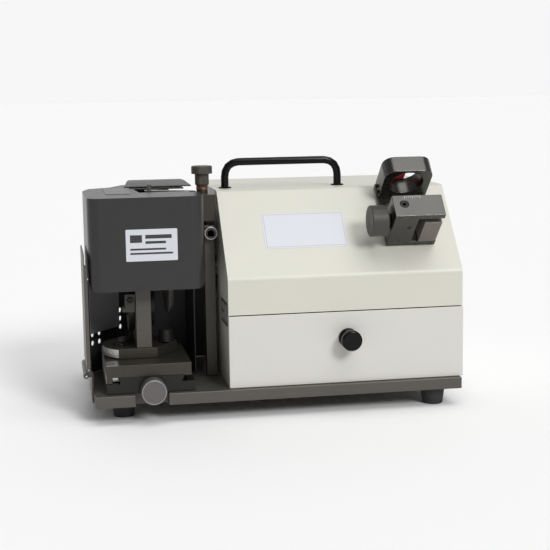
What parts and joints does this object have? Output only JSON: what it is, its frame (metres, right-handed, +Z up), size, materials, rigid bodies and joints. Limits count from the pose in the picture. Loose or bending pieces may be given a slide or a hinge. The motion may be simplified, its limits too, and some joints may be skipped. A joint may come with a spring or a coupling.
{
  "type": "drill bit sharpener",
  "caption": "Bench drill bit sharpener: hooded grinding station with cross slide and swivelling chuck seat, sheet housing with drawer, carry handle and sloped setting gauge.",
  "frame": {"origin": "centre of the bounding box, on the plane that the rubber feet stand on", "axes": "+Z up, +X along the length from the grinding station to the housing, -Y is the front with the drawer"},
  "size_m": [0.4648, 0.308, 0.3072],
  "materials": {
    "cream_paint": "satin powder coat",
    "drawer_paint": "satin powder coat",
    "hood_paint": "satin grey paint",
    "plate_paint": "fine textured grey-brown paint",
    "machined_steel": "machined and phosphated",
    "dark_steel": "black oxide",
    "bright_steel": "ground",
    "cast_head": "painted casting",
    "black_gloss": "gloss",
    "black_satin": "satin",
    "rubber": "matt",
    "copper": "plain bronze",
    "abrasive": "plated grit",
    "motor_case": "painted"
  },
  "bodies": {
    "machine": {"base_plate": "plate_paint", "foot_front_left": "rubber", "foot_front_right": "rubber", "foot_rear_left": "rubber", "foot_rear_right": "rubber", "front_cover": "cream_paint", "rear_cover": "cream_paint", "carry_handle": "black_gloss", "power_inlet": "black_satin", "motor": "motor_case", "drive_belt": "rubber", "bearing_front": "bright_steel", "bearing_rear": "bright_steel", "headstock": "cast_head", "column_bar": "plate_paint", "column_cap_screw": "dark_steel", "feed_nut": "machined_steel", "slide_base": "dark_steel", "hood_stanchion": "plate_paint", "hood_hinge_pin": "bright_steel", "guard_hinge_leaf": "machined_steel", "guard_hinge_pin": "bright_steel", "rear_screen": "plate_paint", "chip_deflector": "hood_paint", "inner_guard": "plate_paint", "rear_panel": "hood_paint", "gauge_base": "dark_steel", "gauge_ring": "dark_steel", "gauge_block": "dark_steel", "gauge_grub_screw": "dark_steel"},
    "drawer": {"drawer_front": "drawer_paint", "drawer_tray": "plate_paint", "drawer_knob": "black_gloss"},
    "switch": {"switch_rocker": "black_satin"},
    "motor_rotor": {"motor_pulley": "machined_steel"},
    "wheel_spindle": {"spindle": "bright_steel", "spindle_pulley": "machined_steel", "grinding_wheel": "abrasive", "wheel_nut": "machined_steel"},
    "feed_carriage": {"feed_head": "machined_steel", "feed_washer": "copper", "index_arm": "machined_steel", "index_pin": "bright_steel"},
    "feed_screw": {"feed_knob": "machined_steel"},
    "cross_carriage": {"upper_slide": "machined_steel", "slide_gib": "bright_steel", "cross_nut": "bright_steel", "table_screw_left": "dark_steel", "table_screw_right": "dark_steel"},
    "cross_feed": {"cross_screw": "machined_steel"},
    "turntable": {"rotary_table": "machined_steel", "seat_post": "plate_paint", "stop_bracket": "machined_steel"},
    "seat": {"chuck_seat": "machined_steel", "seat_ring": "dark_steel"},
    "hood_shell": {"hood": "hood_paint"},
    "lid": {"hood_lid": "hood_paint"},
    "guard": {"side_guard": "plate_paint"},
    "jaw": {"gauge_jaw": "machined_steel"},
    "gauge_screw": {"gauge_knob": "dark_steel"}
  },
  "joints": [
    {"name": "drawer_slide", "type": "slide", "parent": "machine", "child": "drawer", "axis": [0, -1, 0], "range_m": [0, 0.1]},
    {"name": "switch_tilt", "type": "hinge", "parent": "machine", "child": "switch", "pos_m": [-0.01975, 0.145, 0.074], "axis": [1, 0, 0], "range_deg": [-8, 8]},
    {"name": "spindle_spin", "type": "hinge", "parent": "machine", "child": "wheel_spindle", "pos_m": [-0.07075, -0.006, 0.163], "axis": [1, 0, 0], "continuous": true},
    {"name": "motor_spin", "type": "hinge", "parent": "machine", "child": "motor_rotor", "pos_m": [-0.01675, 0.079, 0.095], "axis": [1, 0, 0], "continuous": true},
    {"name": "feed_slide", "type": "slide", "parent": "machine", "child": "feed_carriage", "axis": [0, 0, 1], "range_m": [-0.005, 0.008]},
    {"name": "feed_knob_turn", "type": "hinge", "parent": "feed_carriage", "child": "feed_screw", "pos_m": [-0.07685, -0.039, 0.25], "axis": [0, 0, 1], "range_deg": [-1204, 1924]},
    {"name": "cross_slide", "type": "slide", "parent": "machine", "child": "cross_carriage", "axis": [0, 1, 0], "range_m": [-0.01, 0.012]},
    {"name": "cross_screw_turn", "type": "hinge", "parent": "machine", "child": "cross_feed", "pos_m": [-0.15175, -0.076, 0.0413], "axis": [0, 1, 0], "range_deg": [-2164, 1804]},
    {"name": "table_turn", "type": "hinge", "parent": "cross_carriage", "child": "turntable", "pos_m": [-0.16075, -0.056, 0.078], "axis": [0, 0, 1], "range_deg": [-12, 12]},
    {"name": "seat_turn", "type": "hinge", "parent": "turntable", "child": "seat", "pos_m": [-0.16075, -0.038, 0.133], "axis": [1, 0, 0], "range_deg": [-25, 25]},
    {"name": "hood_lift", "type": "hinge", "parent": "machine", "child": "hood_shell", "pos_m": [-0.13475, 0.0835, 0.262], "axis": [-1, 0, 0], "range_deg": [0, 75]},
    {"name": "lid_lift", "type": "hinge", "parent": "hood_shell", "child": "lid", "pos_m": [-0.12875, 0.0705, 0.2695], "axis": [-1, 0, 0], "range_deg": [0, 85]},
    {"name": "guard_swing", "type": "hinge", "parent": "machine", "child": "guard", "pos_m": [-0.22905, -0.071, 0.057], "axis": [0, -1, 0], "range_deg": [0, 95]},
    {"name": "jaw_slide", "type": "slide", "parent": "machine", "child": "jaw", "axis": [1, 0, 0], "range_m": [-0.008, 0.006]},
    {"name": "gauge_knob_turn", "type": "hinge", "parent": "machine", "child": "gauge_screw", "pos_m": [0.16925, -0.12277, 0.23233], "axis": [1, 0, 0], "range_deg": [-1444, 1924]}
  ],
  "couplings": [
    {"joint": "motor_spin", "follows": "spindle_spin", "ratio": 0.8},
    {"joint": "feed_knob_turn", "follows": "feed_slide", "rad_per_m": 4188.8},
    {"joint": "cross_screw_turn", "follows": "cross_slide", "rad_per_m": -3141.6},
    {"joint": "gauge_knob_turn", "follows": "jaw_slide", "rad_per_m": -4188.8}
  ]
}
